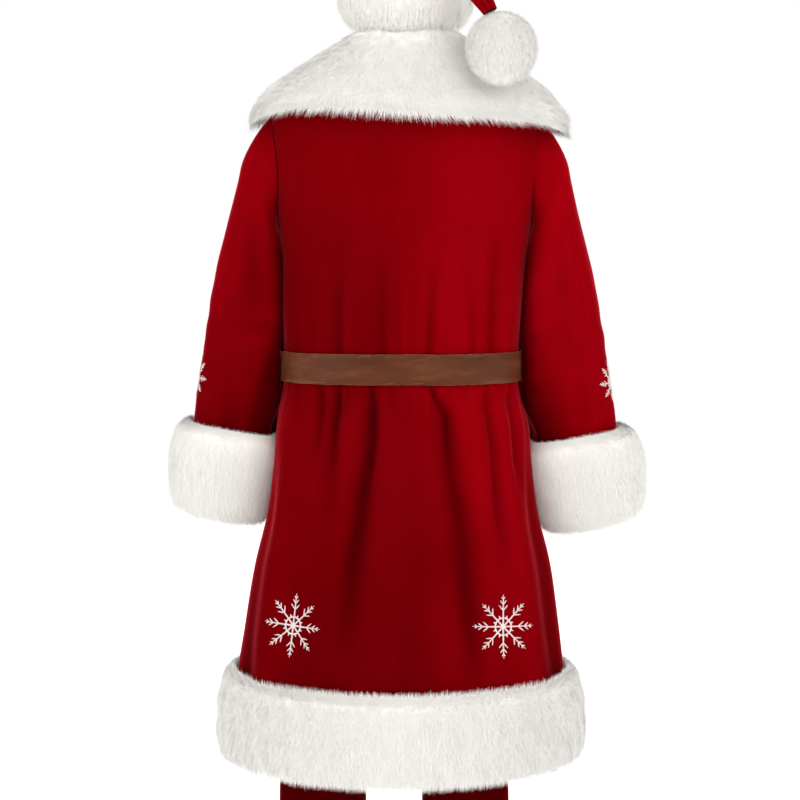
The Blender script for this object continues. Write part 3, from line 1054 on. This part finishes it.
def belt():
    lap, tongue = coatShape["lapRise"], beltShape["thick"] + beltShape["layerGap"]

    def leftRise(angle):
        return lap * ease(*beltShape["overLap"], angle)

    def rightRise(angle):
        overLap = lap * (1 - ease(*beltShape["lapEnds"], angle))
        return overLap + tongue * (1 - ease(*beltShape["tongueCrosses"], angle))

    for node, first, last, rise, seed in (
            ("belt_left", 0.0, 181.0, leftRise, 81),
            ("belt_right", 180.0 - beltShape["tongue"], 360.0, rightRise, 83)):
        strap(node, first, last, rise, seed)
        stitches(node, first, last, rise)
    for node in ("buckle_frame", "buckle_prong"):
        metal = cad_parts[node]
        metal.data.materials.clear()
        metal.data.materials.append(brass)
    print("belt made")


# trousers: two tubes that meet at the crotch, each of a back and a front panel

legShape = {
    "hem": 0.060, "top": 0.984, "waistTop": 1.016, "waistGap": 0.0014, "waistband": 0.0038, "sway": 0.011,
    "creaseSize": 0.070, "creaseDepth": 0.0022, "shinSize": 0.120, "shinDepth": 0.0024, "columns": 16,
    "rows": 50,
    "rings": table("height centre halfWidth innerEdge bulge", [
        (0.055, 0.1200, 0.0700, 0.000, 0.079), (0.315, 0.1150, 0.0700, 0.000, 0.079),
        (0.550, 0.1040, 0.0780, 0.000, 0.088), (0.700, 0.0930, 0.0870, 0.000, 0.099),
        (0.745, 0.0890, 0.0878, 0.014, 0.103), (0.785, 0.0865, 0.0853, 0.066, 0.090),
        (0.825, 0.0850, 0.0838, 0.104, 0.076), (0.885, 0.0830, 0.0818, 0.124, 0.060),
        (0.950, 0.0780, 0.0768, 0.119, 0.050), (1.030, 0.0740, 0.0728, 0.112, 0.046)])}


def legPoint(side, turn, height, back):  # half a flat oval: turn from the inner edge over to the side seam
    centre, halfWidth, innerEdge, bulge = (
        along(legShape["rings"], "height", name, height)
        for name in ("centre", "halfWidth", "innerEdge", "bulge"))
    out, over = np.cos(np.radians(turn)), np.sin(np.radians(turn))
    sway = legShape["sway"] * (1 - ease(0.35, 0.75, height))
    x = side * (centre - halfWidth * out) + sway
    y = back * (np.maximum(innerEdge, 0.0) * (1 + out) / 2 + bulge * over + coatShape["seamGap"] / 2)
    return np.stack(np.broadcast_arrays(x, y, height), axis=-1)


def legPanel(node, side, back):  # a front or back half, its soft creases fading at the seams and the thigh
    shape = legShape
    height = np.linspace(shape["hem"], shape["top"], shape["rows"])[:, None]
    share = seamShares(shape["columns"])[None, :]
    base = legPoint(side, 180.0 * share, height, back)
    middle = (legPoint(side, 0.0, height, 0.0) + legPoint(side, 180.0, height, 0.0)) / 2
    low = (1 - ease(0.45, 0.75, height)) * ease(0.0, 0.14, share) * (1 - ease(0.86, 1.0, share))
    crease = ripple(share * 0.2, 0.25 * height, shape["creaseSize"], 91 + side + 2 * back)
    shin = ripple(0.5 * share * 0.2, height, shape["shinSize"], 95 + side)
    crease, shin = crease * shape["creaseDepth"], shin * shape["shinDepth"]
    swell = seamDip(share, 0.22) + low * (crease + shin * np.sin(np.pi * share))
    outer = base + gridNormals(base, middle) * swell[..., None]
    inner = outer - gridNormals(outer, middle) * coatShape["cloth"]
    beneath = ease(0.16, 0.33, height) + 0 * share  # it looks darker beneath the coat's hem
    piece = addShell("cloth_" + node, outer, inner, shadedVelvet, False, {"hollow": beneath})
    declareCloth(node)


def waistband():  # an oval ring on top of the legs
    shape = legShape
    angle = np.linspace(0, 360, 96, endpoint=False)[None, :]
    height = np.linspace(shape["top"] + shape["waistGap"], shape["waistTop"], 5)[:, None]
    rings = table("height halfWidth halfDepth lean squareness", [
        (shape["top"], 0.150, 0.118, 0.0, 2.4), (shape["waistTop"], 0.148, 0.117, 0.0, 2.4)])
    outer, inner = (ringPoint(rings, angle, height, out) for out in (0.0, -shape["waistband"]))
    piece = addShell("cloth_waistband", outer, inner, velvet, True)
    declareCloth("waistband")


def trousers():
    waistband()
    for side, word in ((1, "left"), (-1, "right")):
        legPanel("trousers_back_" + word, side, 1)
        legPanel("trousers_front_" + word, side, -1)
    print("trousers made")


# hat: rings square to a middle line that stands up, bends over and hangs to the pompom

hatShape = {
    "columns": 48, "rows": 96, "wrinkle": 0.0028, "wrinkleSize": 0.040, "slack": 0.0014, "slackSize": 0.075,
    "pinch": 0.0018, "girth": 0.06, "creaseDepth": 0.008, "nap": 0.15, "pinchShade": 0.8,
    "rings": table("x y z halfWidth halfDepth", [
        (-0.007, -0.024, 1.576, 0.0820, 0.1020), (-0.008, -0.009, 1.641, 0.0820, 0.1020),
        (-0.011, 0.006, 1.705, 0.0790, 0.0960), (-0.021, 0.020, 1.750, 0.0690, 0.0820),
        (-0.044, 0.034, 1.784, 0.0530, 0.0620), (-0.079, 0.052, 1.792, 0.0410, 0.0460),
        (-0.111, 0.076, 1.764, 0.0340, 0.0350), (-0.129, 0.100, 1.712, 0.0290, 0.0270),
        (-0.122, 0.125, 1.650, 0.0240, 0.0210), (-0.1125, 0.148, 1.600, 0.0190, 0.0165),
        (-0.1335, 0.161, 1.5570, 0.0115, 0.0090)])}
brimShape = {"centre": (-0.007, -0.018, 1.599), "tilt": 13.0, "halfHeight": 0.0375, "halfWidth": 0.0840,
             "halfDepth": 0.1040, "fur": 0.0260, "skin": 0.76, "hair": 0.97, "gap": 0.0003, "lump": 0.0010,
             "backReach": 0.93, "skinReach": 0.95, "hairReach": 1.02, "columns": 60, "rows": 18,
             "count": 32000, "lay": 0.0090, "seed": 112, "level": 0.30,
             "fringes": [(-1, 1400, 0.0070, 0.1), (0, 1400, 0.0060, 0.0)]}
pompomShape = {"centre": (-0.1512, 0.1555, 1.5085), "radius": 0.0565, "skin": 0.85, "hair": 0.99,
               "pole": 0.02, "columns": 40, "rows": 26, "count": 34000, "lay": 0.0070, "seed": 121,
               "level": 0.45, "fringes": []}


def hatPoint(turn, place):  # an oval square to the hat's middle line, curved through the rings' centres
    rings = dict(hatShape["rings"], key=np.linspace(0, 1, 11))
    centre, ahead, behind = (np.stack([along(rings, "key", name, place + step) for name in "xyz"], axis=-1)
                             for step in (0.0, 0.01, -0.01))
    tangent = unit(ahead - behind)
    back = unit(np.array([0.0, 1.0, 0.0]) - tangent * tangent[..., 1:2])
    across = np.cross(back, tangent)
    out, over = np.cos(np.radians(turn))[..., None], np.sin(np.radians(turn))[..., None]
    wide = along(rings, "key", "halfWidth", place)[..., None] * out
    deep = along(rings, "key", "halfDepth", place)[..., None] * over
    return centre + wide * across + deep * back


def crown():  # the ovals with wrinkles inside the bend, and the tail pinched where it is sewn
    shape = hatShape
    place = np.linspace(0, 1, shape["rows"])[:, None]
    turn = np.linspace(0, 360, shape["columns"], endpoint=False)[None, :]
    turn, place = np.broadcast_arrays(turn, place)
    base, around = hatPoint(turn, place), np.radians(turn) * shape["girth"]
    middle = base.mean(axis=1, keepdims=True)
    bend = bell(place - 0.48, 0.16)
    inside = 0.35 + 0.65 * bell(turnTo(turn - 20.0), 75)
    wrinkles = ripple(0.12 * around, place * 0.55, shape["wrinkleSize"], 101) * bend * inside
    slack = ripple(around, place * 0.25, shape["slackSize"], 102) * ease(0.12, 0.30, place)
    pinches = bell(turnTo(turn - 68.0), 9) + 0.8 * bell(turnTo(turn - 112.0), 8)
    pinches = pinches * ease(0.72, 0.84, place)
    swell = (shape["wrinkle"] * wrinkles + shape["slack"] * slack) * (1 - ease(0.86, 0.99, place))
    swell = swell - shape["pinch"] * pinches
    outer = base + gridNormals(base, middle, True) * swell[..., None]
    inner = outer - gridNormals(outer, middle, True) * coatShape["cloth"]
    hollow = shape["nap"] + shape["pinchShade"] * pinches - swell / shape["creaseDepth"]
    values = {"hollow": np.clip(hollow, *napLook["range"])}
    piece = addShell("cloth_hat_crown", outer, inner, velvet, True, values)
    declareCloth("hat_crown")


def brim():  # a tilted oval ring of pile
    shape = brimShape
    turn = np.radians(np.linspace(0, 360, shape["columns"], endpoint=False))[None, :]
    place = bandPlaces(shape["rows"])[:, None]
    tilt = np.radians(shape["tilt"])
    across, back = np.array([1.0, 0.0, 0.0]), np.array([0.0, np.cos(tilt), -np.sin(tilt)])
    up = np.cross(across, back)
    pile = shape["fur"] * along(brimPile, "place", "share", place)
    lump = shape["lump"] * ripple(turn * 0.11, place * 0.07, 0.040, 111)

    def ring(extra, reach):  # the oval widened by extra, with reach as a share of its height
        extra = (extra + 0 * turn + 0 * place)[..., None]
        return (np.array(shape["centre"]) + np.cos(turn)[..., None] * (shape["halfWidth"] + extra) * across
                + np.sin(turn)[..., None] * (shape["halfDepth"] + extra) * back
                + ((2 * place - 1) * shape["halfHeight"] * reach)[..., None] * up)

    skin = ring(pile * shape["skin"] + lump, shape["skinReach"])
    form = ring(pile * shape["hair"] + lump, shape["hairReach"])
    longer = 1 + 0.4 * (1 - ease(0.0, 0.35, place))[..., None]
    lay = edgeLay(-up, 1 - place, skin) * longer
    furBand("hat_brim", ring(shape["gap"], shape["backReach"]), skin, form, lay, shape,
            True)


def pompom():  # a ball of pile: a core, and hairs out to the full radius
    shape = pompomShape
    polar = np.linspace(shape["pole"], np.pi - shape["pole"], shape["rows"])[:, None]
    turn = np.linspace(0, 2 * np.pi, shape["columns"], endpoint=False)[None, :]
    ways = [np.sin(polar) * np.cos(turn), np.sin(polar) * np.sin(turn), np.cos(polar)]
    ways = np.stack(np.broadcast_arrays(*ways), axis=-1)
    skin, form = (np.array(shape["centre"]) + ways * shape["radius"] * shape[part]
                  for part in ("skin", "hair"))
    lay = np.broadcast_to(np.array([0.0, 0.0, -1.0]), ways.shape)
    pileWay = unit(ways * [1.0, 1.0, shape["level"]]).reshape(-1, 3)
    values = {"tipShare": furBody["tipShare"], "pileWay": pileWay}
    core = addPiece("core_pompom", skin.reshape(-1, 3), tubeFaces(skin), fur, values)
    for piece in (core, addHairs("hair_pompom", skin, form, lay, shape, True)):
        standsFor("pompom")


def hat():
    crown()
    brim()
    pompom()
    print("hat made")


# snowflakes: satin-stitched strokes, domed across, that follow the cloth they are sewn on

flakeShape = {
    "arms": 8, "armWidth": 0.0028, "tipWidth": 0.0014, "pointWidth": 0.0005, "taperFrom": 0.93,
    "barbWidth": 0.0019, "ring": 0.27, "ringWidth": 0.0024, "hub": 0.085, "hubWidth": 1.05, "tooth": 0.090,
    "toothWidths": (0.0040, 0.0032, 0.0020, 0.0004), "height": 0.0009, "sink": 0.0006, "proud": 0.0002,
    "barbs": [(0.51, 0.67, 0.150), (0.70, 0.82, 0.105), (0.855, 0.925, 0.055)],  # root, tip and how far aside
    "places": [  # name, the sleeve's side or 0 on the coat, degrees round, height or place, radius, tilt
        ("back_left", 0, 46.9, 0.625, 0.049, 3.0), ("back_right", 0, -44.6, 0.624, 0.049, 3.0),
        ("sleeve_left", 1, 374.0, 0.634, 0.034, 0.0), ("sleeve_right", -1, 380.0, 0.632, 0.034, 0.0)]}


def stroke(path, widths, run):  # a domed ribbon along a path in the flake's plane, and the thread's run on it
    path, widths = np.asarray(path, float), np.asarray(widths, float)
    way = unit(np.gradient(path, axis=0))
    side = np.stack([-way[:, 1], way[:, 0]], axis=-1)
    arc = np.radians([0.0, 35.0, 70.0, 110.0, 145.0, 180.0])
    across = np.append(np.cos(arc), 0.0)
    lift = np.append(np.sin(arc) * flakeShape["height"], -flakeShape["sink"])
    flat = path[:, None, :] + side[:, None, :] * (across[None, :] * widths[:, None] / 2)[..., None]
    high = np.broadcast_to(lift, flat.shape[:2])
    length = run + np.cumsum(np.append(0.0, np.linalg.norm(np.diff(path, axis=0), axis=-1)))
    return np.concatenate([flat, high[..., None]], axis=-1), np.broadcast_to(length[:, None], flat.shape[:2])


def pointed(turn):  # the direction that an arm points in, and the one across it
    return np.array([np.sin(turn), np.cos(turn)]), np.array([np.cos(turn), -np.sin(turn)])


def flakeStrokes(radius):  # arms with paired barbs, teeth between them, then a ring and a hub
    shape, strokes = flakeShape, []
    armWidths = [shape["armWidth"], shape["tipWidth"], shape["pointWidth"]]
    reach, t = np.linspace(0, radius, 9)[:, None], np.linspace(0, 1, 5)[:, None]
    for number in range(shape["arms"]):
        turn = 2 * np.pi * number / shape["arms"]
        way, aside = pointed(turn)
        widths = np.interp(reach[:, 0], [0, shape["taperFrom"] * radius, radius], armWidths)
        strokes.append(stroke(reach * way, widths, 0.01 * number))
        for root, tip, spread in shape["barbs"]:
            widths = shape["barbWidth"] * np.array([1.0, 1.0, 1.0, 0.85, 0.25])
            for hand in (-1, 1):
                line = (root + (tip - root) * t) * radius * way + hand * spread * radius * t ** 0.9 * aside
                strokes.append(stroke(line, widths, 0.02 * root))
        between, _ = pointed(turn + np.pi / shape["arms"])
        tooth = (shape["ring"] + np.linspace(0, shape["tooth"], 4)[:, None]) * radius * between
        strokes.append(stroke(tooth, shape["toothWidths"], 0.0))
    hub = (shape["hub"] / 2, shape["hub"] * radius * shape["hubWidth"])
    for size, width in ((shape["ring"], shape["ringWidth"]), hub):
        turns = np.linspace(0, 2 * np.pi * 1.02, 42)
        circle = np.stack([np.sin(turns), np.cos(turns)], axis=-1) * size * radius
        strokes.append(stroke(circle, np.full(42, width), 0.0))
    return strokes


def snowflake(name, radius, tilt, sewnAt):  # sewnAt turns plane points and heights into points on the cloth
    points, sides, caps, runs, start = [], [], [], [], 0
    sine, cosine = np.sin(np.radians(tilt)), np.cos(np.radians(tilt))
    for flat, run in flakeStrokes(radius):
        across = flat[..., 0] * cosine + flat[..., 1] * sine
        up = flat[..., 1] * cosine - flat[..., 0] * sine
        solid = sewnAt(across, up, flat[..., 2] + flakeShape["proud"])
        tube, *ends = (faces + start for faces in tubeFaces(solid))
        sides.append(tube)
        caps.extend(ends)
        points.append(solid.reshape(-1, 3))
        runs.append(run.ravel())
        start += len(points[-1])
    faceSets, values = [np.concatenate(sides), np.concatenate(caps)], {"strokeRun": np.concatenate(runs)}
    addPiece("flake_" + name, np.concatenate(points), faceSets, thread, values)


def onCoat(angle, height):  # metres across and up turned into degrees and height round a spot
    step = np.linalg.norm(coatPoint(angle + 1.0, height) - coatPoint(angle - 1.0, height)) / 2

    def sewnAt(across, up, lift):
        turn, z = angle - across / step, height + up
        return coatPoint(turn, z, coatCrease(turn, z) + lift)
    return sewnAt


def onSleeve(side, turn, place):  # metres across and up turned into degrees and place round a spot
    turn, place = np.float64(turn), np.float64(place)

    def spread(turnStep, placeStep, turn=turn, place=place):  # from a little before the spot to just after
        return (sleevePoint(side, turn + turnStep, place + placeStep)
                - sleevePoint(side, turn - turnStep, place - placeStep))

    aroundStep, downStep = np.linalg.norm(spread(1.0, 0.0)) / 2, np.linalg.norm(spread(0.0, 0.01)) / 0.02

    def sewnAt(across, up, lift):
        bearing, way = turn + across / aroundStep, place - up / downStep
        normal = unit(np.cross(spread(0.6, 0.0, bearing, way), spread(0.0, 0.003, bearing, way)))
        surface = sleevePoint(side, bearing, way)
        normal = normal * np.sign(np.sum(normal * (surface - armLine(side, way))))
        return surface + normal * (sleeveCrease(side, bearing, way) + lift)[..., None]
    return sewnAt


def snowflakes():
    for name, sleeve, turn, place, radius, tilt in flakeShape["places"]:
        sewnAt = onSleeve(sleeve, turn, place) if sleeve else onCoat(turn, place)
        snowflake(name, radius, tilt, sewnAt)
    print("snowflakes sewn")


coat()
sleeves()
hem()
collar()
cuffs()
belt()
trousers()
hat()
snowflakes()


# studio: pale floor, a white surround, large soft lights and a camera behind the suit

studio = {
    "floorSize": 60.0, "floor": (0.93, 0.93, 0.93, 1.0), "floorGlow": 0.55, "surround": 1.0,
    "surroundLight": 0.50, "white": (1.0, 1.0, 1.0, 1.0),
    "lights": [  # name, place, aim, size, watts
        ("backKey", (-2.0, 3.5, 1.6), (0.0, 0.0, -0.3), 2.6, 53.0),
        ("backFill", (2.8, 3.0, 0.3), (0.0, 0.0, -0.5), 2.2, 40.0),
        ("top", (0.0, 1.6, 3.0), (0.0, 0.0, -0.3), 3.0, 66.0),
        ("rightSide", (-3.3, 1.1, 0.8), (0.0, 0.0, -0.2), 2.4, 28.0),
        ("leftSide", (3.3, 0.9, 0.4), (0.0, 0.0, -0.3), 2.4, 13.0),
        ("frontKey", (1.8, -3.8, 1.2), (0.0, 0.0, -0.5), 2.6, 60.0)],
    "cameraPlace": (0.0015, 3.43, -0.25), "cameraPitch": -4.5, "lens": 97.1}


def stageFloor():
    size, low = studio["floorSize"] / 2, cadLow[2]
    mesh = bpy.data.meshes.new("floor")
    mesh.from_pydata([(-size, -size, low), (size, -size, low), (size, size, low), (-size, size, low)], [],
                     [(0, 1, 2, 3)])
    finish = newFinish("paleFloor", Base_Color=studio["floor"], Roughness=0.8,
                       Emission_Color=studio["white"], Emission_Strength=studio["floorGlow"])[0]
    mesh.materials.append(finish)
    addObject("floor", mesh)


def lights():  # square lights, and a world that looks whiter than it lights
    for name, place, aim, size, watts in studio["lights"]:
        light = bpy.data.lights.new(name, "AREA")
        light.shape, light.size, light.energy = "SQUARE", size, watts
        lamp = addObject(name, light)
        lamp.location = place
        lamp.rotation_euler = (Vector(aim) - Vector(place)).to_track_quat("-Z", "Y").to_euler()
    world = bpy.data.worlds.new("surround")
    world.use_nodes = True
    bpy.context.scene.world = world
    tree, least = world.node_tree, studio["surroundLight"]
    seen = addNode(tree, "ShaderNodeLightPath").outputs["Is Camera Ray"]  # seen whiter than it lights
    power = calculate(tree, "MULTIPLY_ADD", seen, studio["surround"] - least, least)
    tree.links.new(power, tree.nodes["Background"].inputs["Strength"])
    tree.nodes["Background"].inputs["Color"].default_value = studio["white"]


def camera():
    view = bpy.data.cameras.new("camera")
    view.lens, view.clip_end = studio["lens"], 200.0
    eye = addObject("camera", view)
    eye.location = studio["cameraPlace"]
    eye.rotation_euler = (np.radians(90 + studio["cameraPitch"]), 0.0, np.pi)
    bpy.context.scene.camera = eye


stageFloor()
lights()
camera()
bpy.context.scene.view_settings.view_transform = "Standard"
